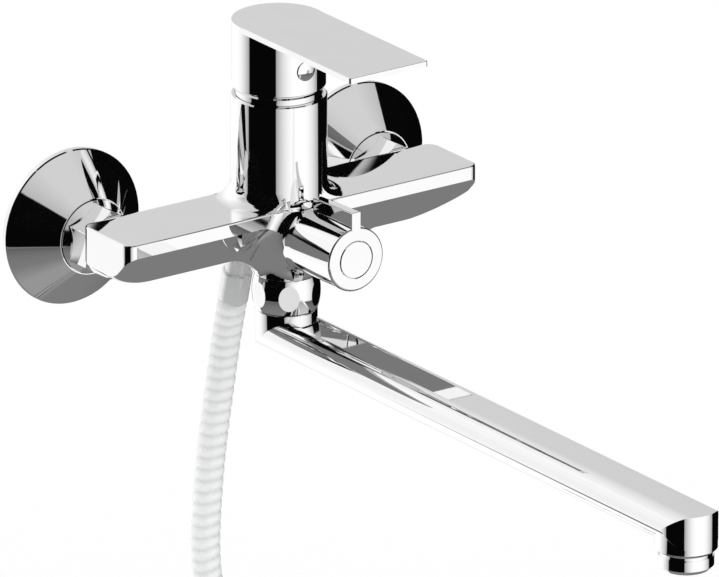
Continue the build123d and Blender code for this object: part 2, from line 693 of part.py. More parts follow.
def diverter_knob():
    """Knob with a straight fin along its top for the fingers."""
    length = knob_rear_y - knob_front_y
    barrel = rod(knob_r, Vector(0, knob_rear_y, 0), front, length)
    barrel = fillet(barrel.faces().sort_by(Axis.Y)[0].edges(), knob_edge_r)
    fin_section = [(knob_rear_y, 0), (knob_rear_y, fin_top_z - fin_drop), (knob_front_y, fin_top_z),
                   (knob_front_y, 0)]
    fin = extrude(make_face(Plane.YZ * Polyline(*fin_section, close=True)), fin_width / 2, both=True)
    top = fin.faces().sort_by(Axis.Z)[-1].edges()
    fin = fillet(top, 0.5)
    cavity = rod(knob_cavity_r, Vector(0, knob_rear_y, 0), front, knob_rear_y - knob_cavity_end_y)
    hub = rod(knob_hub_r, Vector(0, knob_hub_rear_y, 0), front, knob_hub_rear_y - knob_cavity_end_y)
    drive = rod(spindle_r + seat_gap, Vector(0, knob_rear_y, 0), front, knob_rear_y - spindle_front_y + seat_gap)
    screw_hole = rod(knob_screw_r + slide_gap, Vector(0, knob_rear_y, 0), front, length)
    cap_recess = rod(knob_cap_r + knob_cap_groove, Vector(0, knob_front_y, 0), back, knob_cap_thickness)
    head_recess = rod(knob_screw_head_r + slide_gap, Vector(0, knob_front_y, 0), back,
                      knob_cap_thickness + knob_screw_head_height + slide_gap)
    return barrel + fin - cavity + hub - drive - screw_hole - cap_recess - head_recess


def knob_screw():
    """Pan-head screw that holds the knob on the spindle, under the cap."""
    seat_y = knob_front_y + knob_cap_thickness + knob_screw_head_height + slide_gap
    head = rod(knob_screw_head_r, Vector(0, seat_y, 0), front, knob_screw_head_height)
    head = chamfer(head.faces().sort_by(Axis.Y)[0].edges(), 0.6)
    shank = rod(knob_screw_r, Vector(0, seat_y, 0), back, spindle_front_y - seat_y + 8)
    slot = Pos(0, seat_y - knob_screw_head_height, 0) * (Box(0.9, 2, 4.4) + Box(4.4, 2, 0.9))
    return head + shank - slot


def knob_cap():
    start = Vector(0, knob_front_y + knob_cap_thickness, 0)
    cap = rod(knob_cap_r, start, front, knob_cap_thickness + 0.15)
    return chamfer(cap.faces().sort_by(Axis.Y)[0].edges(), 0.3)


# --- spout --------------------------------------------------------------------------------------
def spout_nut():
    """Barrel-shaped nut with six small flats; its shoulder holds the tail's split ring."""
    height = spout_nut_top_z - spout_nut_bottom_z
    middle_z = (spout_nut_top_z + spout_nut_bottom_z) / 2
    rise = spout_nut_mid_r - spout_nut_end_r
    bulge_r = ((height / 2) ** 2 + rise ** 2) / (2 * rise)
    lower = (spout_nut_end_r, spout_nut_bottom_z)
    upper = (spout_nut_end_r, spout_nut_top_z)
    side = ThreePointArc(lower, (spout_nut_mid_r, middle_z), upper)
    rest = Polyline(upper, (0, spout_nut_top_z), (0, spout_nut_bottom_z), lower)
    barrel = Pos(spout_axis) * revolve(make_face(Plane.XZ * Wire([side, *rest.edges()])), Axis.Z)
    flats = hexagon(2 * spout_nut_flat, spout_axis + up * spout_nut_bottom_z, up, height)
    thread = rod(spout_thread_r + thread_fit, spout_axis + up * nut_shoulder_z, up, height)
    passage = rod(tail_r + slide_gap, spout_axis + up * spout_nut_bottom_z, up, height)
    assert bulge_r > spout_nut_mid_r
    return (barrel & flats) - thread - passage


def tail_groove_heights():
    middle = (spigot_bottom_z + tail_top_z) / 2
    return [middle - 3.4, middle + 3.4]


def spout():
    """Spout of flattened tube, rounded in plan at both ends, with a turned tail and a round outlet."""
    half_round = spout_height / 2
    flat = spout_half_width - half_round
    rear_y = spout_y + spout_collar_r
    tip_y = spout_y - spout_reach
    front_y = tip_y - spout_tip_r
    plan = Pos(0, (spout_y + tip_y) / 2) * Rectangle(2 * spout_half_width, spout_reach)
    plan += Pos(0, spout_y) * Circle(spout_half_width)
    plan += Pos(0, tip_y) * Circle(spout_half_width)
    slab = Pos(0, 0, spout_bottom_z - 1) * extrude(plan, spout_height + 2)
    section = SlotOverall(2 * spout_half_width, spout_height)
    tube = Plane(origin=(0, rear_y, spout_mid_z), x_dir=Vector(1, 0, 0), z_dir=front).location * extrude(
        section, rear_y - front_y + 1)
    collar_top = spout_nut_bottom_z - hidden_gap
    collar = rod(spout_collar_r, spout_axis + up * spout_mid_z, up, collar_top - spout_mid_z)
    collar = fillet(collar.faces().sort_by(Axis.Z)[-1].edges(), 0.6)
    tail = rod(tail_r, spout_axis + up * spout_mid_z, up, tail_top_z - spout_mid_z)
    tip = rod(spout_tip_r, tip_axis + up * spout_tip_bottom_z, up, spout_mid_z - spout_tip_bottom_z)
    tip = chamfer(tip.faces().sort_by(Axis.Z)[0].edges(), spout_tip_chamfer)
    outside = (tube & slab) + collar + tail + tip
    inner_section = SlotOverall(2 * (spout_half_width - spout_wall), spout_height - 2 * spout_wall)
    hollow = Plane(origin=(0, spout_y, spout_mid_z), x_dir=Vector(1, 0, 0), z_dir=front).location * extrude(
        inner_section, spout_reach)
    hollow += rod(tail_bore_r, spout_axis + up * spout_mid_z, up, tail_top_z - spout_mid_z)
    hollow += rod(aerator_thread_r + thread_fit, tip_axis + up * spout_tip_bottom_z, up,
                  aerator_thread_top_z - spout_tip_bottom_z + 1.5)
    hollow += rod(tail_bore_r, tip_axis + up * spout_tip_bottom_z, up, spout_mid_z - spout_tip_bottom_z)
    piece = outside - hollow
    groove_half = o_ring_r + 0.2
    for z in tail_groove_heights():
        piece -= ring(tail_r + 1, tail_r - tail_groove_depth, spout_axis + up * (z - groove_half), up,
                      2 * groove_half)
    piece -= ring(tail_r + 1, tail_r - tail_ring_shoulder,
                  spout_axis + up * (tail_ring_top_z - tail_ring_height - seat_gap), up,
                  tail_ring_height + 2 * seat_gap)
    return piece


def tail_o_rings():
    mean_r = spigot_bore_r - 0.04 - o_ring_r
    rings = [o_ring(mean_r, o_ring_r, spout_axis + up * z, up) for z in tail_groove_heights()]
    return Compound(rings)


def tail_ring():
    """Split plastic ring in the tail's groove, trapped between the spigot and the nut's shoulder."""
    inner_r = tail_r - tail_ring_shoulder + running_fit
    piece = ring(spout_thread_r - 0.2, inner_r, spout_axis + up * (tail_ring_top_z - tail_ring_height), up,
                 tail_ring_height)
    return piece - Pos(spout_thread_r, spout_y, tail_ring_top_z) * Box(12, 1.2, 6)


def aerator_housing():
    """Chromed housing screwed up into the outlet, with a neck, a ring and a chamfered mouth."""
    top = spout_tip_bottom_z - seat_gap
    neck_z = top - aerator_neck_height
    profile = [(aerator_bore_r, aerator_bottom_z), (aerator_r - aerator_chamfer, aerator_bottom_z),
               (aerator_r, aerator_bottom_z + aerator_chamfer), (aerator_r, neck_z),
               (aerator_neck_r, neck_z), (aerator_neck_r, top), (aerator_thread_r, top),
               (aerator_thread_r, aerator_thread_top_z), (aerator_bore_r, aerator_thread_top_z)]
    return turned(profile, tip_axis, up)


def aerator_insert():
    """Plastic flow straightener: a cup with ribs across its mouth."""
    top = aerator_insert_top_z
    bottom = aerator_bottom_z + 1.2
    wall_r = aerator_bore_r - seat_gap
    piece = ring(wall_r, wall_r - 1.1, tip_axis + up * bottom, up, top - bottom)
    piece += rod(wall_r, tip_axis + up * (top - 2), up, 2)
    piece += rod(1.6, tip_axis + up * bottom, up, top - bottom)
    for i in range(aerator_ribs // 2):
        rib = Rot(0, 0, 180 * i / (aerator_ribs // 2)) * Box(2 * wall_r - 1, 0.8, 2.4)
        piece += Pos(tip_axis + up * (bottom + 1.2)) * rib
    for i in range(aerator_ribs):
        angle = math.radians(360 * (i + 0.5) / aerator_ribs)
        hole = Vector(5 * math.cos(angle), 5 * math.sin(angle), top - 2)
        piece -= rod(1.0, tip_axis + hole, up, 2)
    return piece


def aerator_washer():
    start = tip_axis + up * (aerator_thread_top_z + seat_gap)
    return ring(aerator_thread_r - 0.2, aerator_bore_r - 1.6, start, up, 1.2)


# --- shower outlet and hose ---------------------------------------------------------------------
def outlet_nipple():
    """Threaded nipple in the outlet boss, which the hose nut screws on to."""
    inside = 6.0
    outer = rod(supply_thread_r - thread_fit, along_outlet(outlet_boss_length), outlet_dir,
                outlet_nipple_end - outlet_boss_length)
    shank = rod(outlet_bore_r - press_fit, along_outlet(outlet_boss_length), -outlet_dir, inside)
    return outer + shank - rod(outlet_bore_r - 1.8, along_outlet(outlet_nipple_end), -outlet_dir, 20)


def hose_washer():
    return ring(supply_thread_r - 0.3, hose_neck_r - 0.4, along_outlet(outlet_nipple_end), outlet_dir,
                hose_washer_thickness - seat_gap)


def hose_nut():
    """Round nut with a cone towards the hose."""
    length = hose_nut_end - hose_nut_start
    cone = hose_nut_cone_end - hose_nut_start
    profile = [(0, 0), (hose_nut_r - 0.5, 0), (hose_nut_r, 0.5), (hose_nut_r, length - 1),
               (hose_neck_r + 1.6, cone), (0, cone)]
    nut = turned(profile, along_outlet(hose_nut_start), outlet_dir)
    thread_length = outlet_nipple_end + hose_washer_thickness - hose_nut_start
    nut -= rod(supply_thread_r, along_outlet(hose_nut_start), outlet_dir, thread_length)
    return nut - rod(hose_neck_r + seat_gap, along_outlet(hose_nut_start), outlet_dir, cone + 1)


def hose_ferrule():
    """Sleeve crimped on the hose, with a thinner neck that turns in the nut."""
    neck_start = outlet_nipple_end + hose_washer_thickness
    neck = rod(hose_neck_r, along_outlet(neck_start), outlet_dir, ferrule_start - neck_start)
    length = ferrule_end - ferrule_start
    profile = [(0, 0), (ferrule_r - 0.6, 0), (ferrule_r, 0.6), (ferrule_r, length - 0.8),
               (ferrule_r - 0.8, length), (0, length)]
    sleeve = turned(profile, along_outlet(ferrule_start), outlet_dir)
    bore = rod(3.6, along_outlet(neck_start), outlet_dir, length + ferrule_start - neck_start)
    return neck + sleeve - bore


# The hose hangs close to the wall. These points were chosen by hand; the last two follow from the
# coil: the hose turns aside by hose_bend_degrees and joins the coil's circle.
hose_x = -10.0
hose_y = -(hose_wall_gap + hose_r)
bend = math.radians(hose_bend_degrees)
hose_start = along_outlet(ferrule_end)
hose_route = [
    hose_start,
    hose_start + outlet_dir * 19.0,
    Vector(-2.6, -9.2, -86.0),
    Vector(-6.4, hose_y, -114.0),
    Vector(-9.2, hose_y, -142.0),
    Vector(hose_x, hose_y, hose_bend_start_z),
    Vector(hose_x + 7.5, hose_y, hose_bend_start_z - 30.0),
    Vector(hose_x + hose_bend_r * (1 - math.cos(bend)), hose_y,
           hose_bend_start_z - hose_bend_r * math.sin(bend)),
]
coil_start = hose_route[-1]
coil_centre = Vector(coil_start.X - coil_r * math.cos(bend), 0, coil_start.Z - coil_r * math.sin(bend))
coil_end_y = hose_y - coil_pitch * coil_turns
coil_end = Vector(coil_centre.X + coil_r, coil_end_y, coil_centre.Z)


def corner_radii(route):
    """0.45 of the shorter run over the tangent of half the turn, for each corner of the route."""
    radii = []
    for before, corner, after in zip(route, route[1:], route[2:]):
        run_in = corner - before
        run_out = after - corner
        half_turn = math.radians(run_in.get_angle(run_out)) / 2
        radii.append(0.45 * min(run_in.length, run_out.length) / math.tan(half_turn))
    return radii


def hose():
    """The hanging stretch of hose, from the ferrule to the coil."""
    radii = corner_radii(hose_route)
    print("hose corner radii", [round(r) for r in radii])
    path = FilletPolyline(*hose_route, radius=radii)
    mouth = Plane(origin=hose_route[0], z_dir=hose_route[1] - hose_route[0])
    tube = sweep(mouth * Circle(hose_r), path=path)
    print("hose volume over section times length", round(tube.volume / (math.pi * hose_r ** 2 * path.length), 4))
    coiled = 2 * math.pi * coil_r * coil_turns
    print("hose length", round(path.length + coiled))
    return tube


def hose_coil():
    """The outer shape of the put-away turns, which lie side by side against the wall.

    The last turn stops half way down on the right, so there the shape is narrower below it."""
    wall_y = hose_y + hose_r
    pieces = []
    for end_y, arc in ((coil_end_y + coil_end_gap, 360), (coil_end_y - hose_r, 180)):
        width = wall_y - end_y
        section = Pos(coil_r, width / 2) * RectangleRounded(hose_diameter, width, hose_r - 0.3)
        turn = revolve(Plane.XZ * section, Axis.Z, arc)
        pieces.append(Plane(origin=(coil_centre.X, wall_y, coil_centre.Z), z_dir=front,
                            x_dir=Vector(1, 0, 0)).location * turn)
    return pieces[0] + pieces[1]


def hose_end_ferrule():
    profile = [(0, 0), (ferrule_r - 0.8, 0), (ferrule_r, 0.8), (ferrule_r, end_ferrule_length),
               (0, end_ferrule_length)]
    return turned(profile, coil_end, down) - rod(3.6, coil_end, down, 2 * end_ferrule_length)


def cone_nut():
    """Conical end nut, which takes the hand shower's thread."""
    start = coil_end + down * end_ferrule_length
    profile = [(0, 0), (ferrule_r + 0.9, 0), (ferrule_r + 1.4, 0.6), (cone_nut_wide_r, cone_nut_length - 7),
               (cone_nut_wide_r, cone_nut_length - 0.6), (cone_nut_wide_r - 0.6, cone_nut_length),
               (0, cone_nut_length)]
    nut = turned(profile, start, down)
    nut -= rod(cone_nut_bore_r, start + down * (cone_nut_length - cone_nut_thread_depth), down,
               cone_nut_thread_depth + 1)
    return nut - rod(3.6, start, down, cone_nut_length)


def coil_tie():
    """Soft strap round all the turns, at the coil's left."""
    width = hose_y + hose_r - coil_end_y + hose_r + 1.0
    middle = Vector(coil_centre.X - coil_r, hose_y + hose_r - width / 2 + 0.5, coil_centre.Z)
    outer = Box(hose_diameter + 1 + 2 * tie_thickness, width + 2 * tie_thickness, tie_width)
    inner = Box(hose_diameter + 1, width, tie_width + 2)
    outer = fillet(outer.edges().filter_by(Axis.Z), hose_r)
    inner = fillet(inner.edges().filter_by(Axis.Z), hose_r - tie_thickness + 1)
    return Pos(middle) * (outer - inner)


# --- the pieces ---------------------------------------------------------------------------------
def main():
    os.makedirs("parts", exist_ok=True)
    for side, x in (("left", -inlet_x), ("right", inlet_x)):
        write(f"union_{side}", eccentric_union(x))
        write(f"escutcheon_{side}", escutcheon(x))
        write(f"union_nut_{side}", union_nut(x))
        write(f"union_washer_{side}", union_washer(x))
        write(f"inlet_nipple_{side}", inlet_nipple(x))
    write("body_casting", body_casting())
    write("cartridge_base", cartridge_base())
    write("cartridge_seals", base_seals())
    write("fixed_disc", fixed_disc())
    write("moving_disc", moving_disc())
    write("disc_driver", disc_driver())
    write("cartridge_housing", cartridge_housing())
    write("cartridge_carrier", carrier())
    write("lever_pin", lever_pin())
    write("lever_stem", stem())
    write("cartridge_nut", cartridge_nut())
    write("dome_ring", dome_ring())
    write("handle", handle())
    write("handle_grub_screw", grub_screw())
    write("indicator_plug", indicator_plug())
    write("diverter_headwork", diverter_headwork())
    write("diverter_spindle", diverter_spindle())
    write("diverter_moving_disc", diverter_moving_disc())
    write("diverter_fixed_disc", diverter_fixed_disc())
    write("diverter_knob", diverter_knob())
    write("knob_screw", knob_screw())
    write("knob_cap", knob_cap())
    write("spout_nut", spout_nut())
    write("spout", spout())
    write("tail_o_rings", tail_o_rings())
    write("tail_ring", tail_ring())
    write("aerator_housing", aerator_housing())
    write("aerator_insert", aerator_insert())
    write("aerator_washer", aerator_washer())
    write("outlet_nipple", outlet_nipple())
    write("hose_washer", hose_washer())
    write("hose_nut", hose_nut())
    write("hose_ferrule", hose_ferrule())
    write("hose", hose())
    write("hose_coil", hose_coil())
    write("hose_end_ferrule", hose_end_ferrule())
    write("cone_nut", cone_nut())
    write("coil_tie", coil_tie())


main()
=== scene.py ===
import bmesh
import bpy
import json
import math
import numpy
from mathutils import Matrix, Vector


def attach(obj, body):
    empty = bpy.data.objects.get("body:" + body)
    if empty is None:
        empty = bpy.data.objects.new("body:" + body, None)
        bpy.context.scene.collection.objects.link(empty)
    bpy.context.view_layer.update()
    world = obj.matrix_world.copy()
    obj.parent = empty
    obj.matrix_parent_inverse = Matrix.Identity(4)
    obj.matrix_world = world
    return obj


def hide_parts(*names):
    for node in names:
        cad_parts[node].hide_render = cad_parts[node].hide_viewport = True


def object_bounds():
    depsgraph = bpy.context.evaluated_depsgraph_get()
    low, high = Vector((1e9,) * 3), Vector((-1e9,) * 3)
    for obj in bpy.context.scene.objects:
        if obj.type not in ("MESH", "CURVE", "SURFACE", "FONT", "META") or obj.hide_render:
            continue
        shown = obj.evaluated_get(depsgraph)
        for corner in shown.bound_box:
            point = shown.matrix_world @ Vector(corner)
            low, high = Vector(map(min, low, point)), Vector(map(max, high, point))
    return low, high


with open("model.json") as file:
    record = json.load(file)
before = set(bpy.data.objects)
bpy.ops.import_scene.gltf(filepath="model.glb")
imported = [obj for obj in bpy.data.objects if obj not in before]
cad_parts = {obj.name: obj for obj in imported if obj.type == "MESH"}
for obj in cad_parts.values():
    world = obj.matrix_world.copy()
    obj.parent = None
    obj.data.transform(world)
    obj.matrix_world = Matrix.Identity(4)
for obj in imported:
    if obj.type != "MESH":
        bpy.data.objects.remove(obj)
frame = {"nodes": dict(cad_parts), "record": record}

cad_low, cad_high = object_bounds()
scene = bpy.context.scene
nodes = frame["nodes"]
MM = 0.001
AXIS_Z = 8.0            # the valve's own axis is this far above the supply inlets, in mm


def at(x, y, z):
    """A point given in mm about the valve's axis, as part.py has it, in metres in the row frame."""
    return Vector((x, y, z + AXIS_Z)) * MM


# --- camera -------------------------------------------------------------------------------------
AZIMUTH = math.radians(-35.25)
ELEVATION = math.radians(19.92)
CAMERA_DISTANCE = 9.0
SENSOR, LENS = 36.0, 1042.9         # mm; the lens is long, so the view is nearly parallel
TARGET_RIGHT, TARGET_UP = 0.0637, -0.04226      # m, from the valve's axis to the middle of the view
back = Vector((math.sin(AZIMUTH) * math.cos(ELEVATION), -math.cos(AZIMUTH) * math.cos(ELEVATION),
               math.sin(ELEVATION)))
right = Vector((math.cos(AZIMUTH), math.sin(AZIMUTH), 0.0))
upward = back.cross(right)
camera_data = bpy.data.cameras.new("camera")
camera_data.sensor_width = SENSOR
camera_data.lens = LENS
camera_data.clip_start = 0.1
camera_data.clip_end = 60.0
camera = bpy.data.objects.new("camera", camera_data)
scene.collection.objects.link(camera)
target = right * TARGET_RIGHT + upward * TARGET_UP + Vector((0, 0, AXIS_Z * MM))
camera.location = target + back * CAMERA_DISTANCE
camera.rotation_mode = "QUATERNION"
camera.rotation_quaternion = back.to_track_quat("Z", "Y")
scene.camera = camera
scene.view_settings.view_transform = "Standard"


# --- hose ---------------------------------------------------------------------------------------
# It leaves its nut in line with the shower outlet, hangs down, and bends into a tied round coil. All
# in mm about the valve's axis.
HOSE_R = 6.5
HOSE_Y = -8.2                       # the plane it hangs in
OUTLET_ELBOW = Vector((0, -25.5, -5.5))
OUTLET_TILT = math.radians(14.5)
ELBOW_TO_HOSE, STRAIGHT_START = 41.0, 19.0
HANG_X, HANG_FOOT_Z = -10, -170
BEND_R, BEND = 70, math.radians(60)
COIL_R, COIL_PITCH, COIL_TURNS = 65.0, 14.5, 3 + 60 / 360
TURN_POINTS = 16
outlet_dir = Vector((0, math.sin(OUTLET_TILT), -math.cos(OUTLET_TILT)))
hose_start = OUTLET_ELBOW + outlet_dir * ELBOW_TO_HOSE
coil_start = Vector((HANG_X + BEND_R * (1 - math.cos(BEND)), HOSE_Y, HANG_FOOT_Z - BEND_R * math.sin(BEND)))
route = [hose_start, hose_start + outlet_dir * STRAIGHT_START, Vector((-2.6, -9.2, -86)),
         Vector((-6.4, HOSE_Y, -114)), Vector((-9.2, HOSE_Y, -142)), Vector((HANG_X, HOSE_Y, HANG_FOOT_Z)),
         Vector((-2.5, HOSE_Y, -200)), coil_start]
coil_x = coil_start.x - COIL_R * math.cos(BEND)
coil_z = coil_start.z - COIL_R * math.sin(BEND)
coil_line_r = COIL_R / math.cos(math.pi / TURN_POINTS)      # the spline runs inside its control points
turn_steps = round(COIL_TURNS * TURN_POINTS)
for step in range(1, turn_steps + 1):
    turned = 2 * math.pi * COIL_TURNS * step / turn_steps
    angle = BEND - turned
    radius = COIL_R if step == turn_steps else coil_line_r
    route.append(Vector((coil_x + radius * math.cos(angle), HOSE_Y - COIL_PITCH * turned / (2 * math.pi),
                         coil_z + radius * math.sin(angle))))


def nurbs_line(name, points):
    """An open quadratic spline with these control points, in mm about the valve's axis."""
    curve = bpy.data.curves.new(name, "CURVE")
    curve.dimensions = "3D"
    spline = curve.splines.new("NURBS")
    spline.points.add(len(points) - 1)
    for control, point in zip(spline.points, points):
        control.co = (*at(*point), 1.0)
    spline.order_u = 3
    spline.use_endpoint_u = True
    spline.resolution_u = 12
    return curve


def read_line(curve):
    """The points that the curve runs through."""
    holder = bpy.data.objects.new("holder", curve)
    scene.collection.objects.link(holder)
    bpy.context.view_layer.update()
    mesh = bpy.data.meshes.new_from_object(holder.evaluated_get(bpy.context.evaluated_depsgraph_get()))
    points = [v.co.copy() for v in mesh.vertices]
    bpy.data.objects.remove(holder)
    bpy.data.meshes.remove(mesh)
    return points


def evenly(points, step):
    """The same line with points a step apart, and its length."""
    spans = [(b - a).length for a, b in zip(points, points[1:])]
    total = sum(spans)
    count = round(total / step)
    result, i, passed = [], 0, 0.0
    for k in range(count + 1):
        want = total * k / count
        while i < len(spans) - 1 and passed + spans[i] < want:
            passed += spans[i]
            i += 1
        result.append(points[i].lerp(points[i + 1], (want - passed) / spans[i]))
    return result, total


SPIRAL_PITCH = 5.2 * MM
RIDGE_HEIGHT = 0.75     # mm
RIDGE_SHAPE = 0.6       # 1 is a half sine, and less is rounder on top with a narrower groove
SPIRAL_STEPS = 10       # rings to a turn of the spiral
SPIRAL_SIDES = 24


def spiral_hose(name, line):
    """A tube round this line whose wall rises in a ridge that winds along it."""
    bm = bmesh.new()
    across = (line[1] - line[0]).cross(Vector((1, 0, 0))).normalized()
    rings, grooves = [], []
    for i, point in enumerate(line):
        ahead = (line[min(i + 1, len(line) - 1)] - line[max(i - 1, 0)]).normalized()
        across = (across - ahead * across.dot(ahead)).normalized()
        other = ahead.cross(across)
        loop = []
        for k in range(SPIRAL_SIDES):
            turn = k / SPIRAL_SIDES
            phase = (i / SPIRAL_STEPS - turn) % 1.0
            wave = abs(math.sin(math.pi * phase)) ** RIDGE_SHAPE
            radius = (HOSE_R - RIDGE_HEIGHT * (1 - wave)) * MM
            grooves.append(1 - wave)
            angle = 2 * math.pi * turn
            loop.append(bm.verts.new(point + (across * math.cos(angle) + other * math.sin(angle)) * radius))
        rings.append(loop)
    for low, high in zip(rings, rings[1:]):
        for k in range(SPIRAL_SIDES):
            n = (k + 1) % SPIRAL_SIDES
            bm.faces.new((low[k], low[n], high[n], high[k]))
    bm.faces.new(list(reversed(rings[0])))
    bm.faces.new(rings[-1])
    for face in bm.faces:
        face.smooth = True
    mesh = bpy.data.meshes.new(name)
    bm.to_mesh(mesh)
    bm.free()
    mesh.attributes.new("groove", "FLOAT", "POINT").data.foreach_set("value", grooves)
    piece = bpy.data.objects.new(name, mesh)
    scene.collection.objects.link(piece)
    return piece


hose_points, hose_length = evenly(read_line(nurbs_line("hose_line", route)), SPIRAL_PITCH / SPIRAL_STEPS)
hose = spiral_hose("shower_hose", hose_points)


# --- body ---------------------------------------------------------------------------------------
# The casting's bosses grow out of the bar in wide hollows, and its ends are sloped and rounded
# underneath. The CAD node is plainer there, so a finely meshed skin takes the place of its bar and
# bosses. All in mm about the valve's axis. A distance to a body is negative inside it.
BAR_HALF, BAR_FRONT_Y, BAR_REAR_Y, BAR_TOP_Z = 92.0, -69.8, -34.0, 13.3
BAND_FOOT_Z = 7.2                   # the upright band along the front ends here
BAR_CORNER_R, BAR_EDGE_R = 4.6, 0.8
KEEL_Y, KEEL_Z, KEEL_R = -48.1, -14.5, 2.5
END_SLOPE_Z, END_KEEL_R, END_HIP_R = -3.8, 12.0, 2.5    # the slope under each end of the bar
TOWER_Y, TOWER_R, TOWER_HOLLOW = -50.4, 20.9, 7.5
KNOB_BOSS_R, KNOB_BOSS_FRONT_Y, KNOB_HOLLOW = 13.9, -78.6, 7.5
KNOB_BORE_R, KNOB_BORE_END_Y = 9.5, -62.0
SPOUT_Y, SPOUT_BOSS_R, SPOUT_BOSS_FOOT_Z, SPOUT_HOLLOW = -55.7, 13.7, -20.5, 13.0
INLET_X, INLET_R, INLET_DEPTH = 75.0, 9.5, 11.0
INLET_BOSS_R, INLET_BOSS_FRONT_Y, INLET_HOLLOW = 12.2, -51.0, 4.0
FOOT_INSET, FOOT_DEPTH = 1.0, 3.0   # how far the tower's foot keeps inside the bar's sides and top
KNOB_HOLLOW_INSET, INLET_INSET = 0.3, 1.0       # how far these stay below the bar's top
SKIN_CELL = 0.8
SKIN_MARGIN, CUT_MARGIN = 1.5, 2.0  # how far the skin's cells reach past the surface, and past its cuts
SPRING, CELL_REACH = 0.02, 0.6      # see skin; a point stays within CELL_REACH cells of its cell's middle
NORMAL_INSET = 0.25                 # a corner's normal is taken this share of the way to the quad's middle
NEAR, REAR_NEAR = 0.05, 0.02        # a face whose middle is this near a plane, or the rear, lies on it
# above TOWER_START over the bar's top the tower's wall is the casting's own
TOWER_START, TOWER_SLACK, CASTING_SLACK = 0.5, 0.004, 0.3


def round_join(a, b, radius):
    """Distance to two bodies joined with a hollow of this radius."""
    return (numpy.maximum(radius, numpy.minimum(a, b))
            - numpy.hypot(numpy.maximum(radius - a, 0), numpy.maximum(radius - b, 0)))


def round_meet(a, b, radius):
    """Distance to what two bodies share, its edge rounded to this radius."""
    return (numpy.minimum(-radius, numpy.maximum(a, b))
            + numpy.hypot(numpy.maximum(radius + a, 0), numpy.maximum(radius + b, 0)))


def bar_distance(x, y, z):
    front_slope = (-(y - BAR_FRONT_Y) - (z - BAND_FOOT_Z)) / math.sqrt(2)
    rear_slope = ((y - KEEL_Y) - (z - KEEL_Z)) / math.sqrt(2)
    past_end = numpy.abs(x) - BAR_HALF
    end_slope = round_meet((past_end - (z - END_SLOPE_Z)) / math.sqrt(2), KEEL_Z - z, END_KEEL_R)
    underside = round_meet(round_meet(front_slope, rear_slope, KEEL_R), end_slope, END_HIP_R)
    sides = round_meet(numpy.maximum(BAR_FRONT_Y - y, y - BAR_REAR_Y), past_end, BAR_CORNER_R)
    return numpy.maximum(round_meet(sides, z - BAR_TOP_Z, BAR_EDGE_R), underside)


def body_distance(x, y, z):
    """The bar with its bosses and the foot of its tower, less the inlets and the diverter's bore."""
    from_inlet = numpy.hypot(numpy.abs(x) - INLET_X, z)
    from_knob = numpy.hypot(x, z)
    before_front, behind_rear, over_top = BAR_FRONT_Y - y, y - BAR_REAR_Y, z - BAR_TOP_Z
    bar = bar_distance(x, y, z)
    tower = numpy.hypot(x, y - TOWER_Y) - TOWER_R
    foot = numpy.maximum.reduce([round_join(tower, over_top, TOWER_HOLLOW), tower - TOWER_HOLLOW,
                                 before_front + FOOT_INSET, behind_rear + FOOT_INSET,
                                 -over_top - FOOT_DEPTH])
    tower = numpy.maximum(tower, -z)
    spout_boss = numpy.hypot(x, y - SPOUT_Y) - SPOUT_BOSS_R
    spout_root = numpy.maximum.reduce([round_join(bar, spout_boss, SPOUT_HOLLOW), before_front, behind_rear,
                                       over_top + BAR_EDGE_R])
    knob_boss = from_knob - KNOB_BOSS_R
    knob_root = round_join(numpy.minimum(spout_root, bar), knob_boss, KNOB_HOLLOW)
    knob_root = numpy.maximum.reduce([knob_root, over_top + KNOB_HOLLOW_INSET, y - KEEL_Y])
    knob_boss = numpy.maximum(knob_boss, y - KEEL_Y)
    inlet_boss = round_meet(from_inlet - INLET_BOSS_R, INLET_BOSS_FRONT_Y - y, INLET_BOSS_R)
    inlet_boss = numpy.maximum.reduce([round_join(bar, inlet_boss, INLET_HOLLOW), behind_rear,
                                       numpy.abs(x) - BAR_HALF, over_top + INLET_INSET])
    inlets = numpy.maximum(from_inlet - INLET_R, -behind_rear - INLET_DEPTH)
    knob_bore = numpy.maximum(from_knob - KNOB_BORE_R, y - KNOB_BORE_END_Y)
    solid = numpy.minimum.reduce([bar, spout_root, knob_boss, knob_root, foot, tower, inlet_boss])
    return numpy.maximum.reduce([solid, SPOUT_BOSS_FOOT_Z - z, KNOB_BOSS_FRONT_Y - y, -inlets, -knob_bore])


def skin_shows(x, y, z):
    """Whether the skin is wanted here, and not the casting's own tower or the foot of its spout boss."""
    on_tower = (numpy.hypot(x, y - TOWER_Y) < TOWER_R + TOWER_SLACK) & (z > BAR_TOP_Z + TOWER_START)
    return ~on_tower & (z > SPOUT_BOSS_FOOT_Z + NEAR)


def casting_shows(x, y, z):
    """Whether a face of the CAD casting stays: its tower, spigot and outlet.

    A face goes by its middle, so long ones that run out of the bar leave slivers open beside the
    outlet, behind the bar.
    """
    on_tower = z > BAR_TOP_Z - NEAR and math.hypot(x, y - TOWER_Y) < TOWER_R + CASTING_SLACK
    return on_tower or z < SPOUT_BOSS_FOOT_Z + NEAR or y > BAR_REAR_Y + REAR_NEAR


def slope_of(distance, points):
    """The direction in which distance grows fastest, for each of these points."""
    step = 0.01
    x, y, z = points.T
    slope = numpy.stack([distance(x + step, y, z) - distance(x - step, y, z),
                         distance(x, y + step, z) - distance(x, y - step, z),
                         distance(x, y, z + step) - distance(x, y, z - step)], axis=1)
    return slope / numpy.maximum(numpy.linalg.norm(slope, axis=1), 1e-9)[:, None]


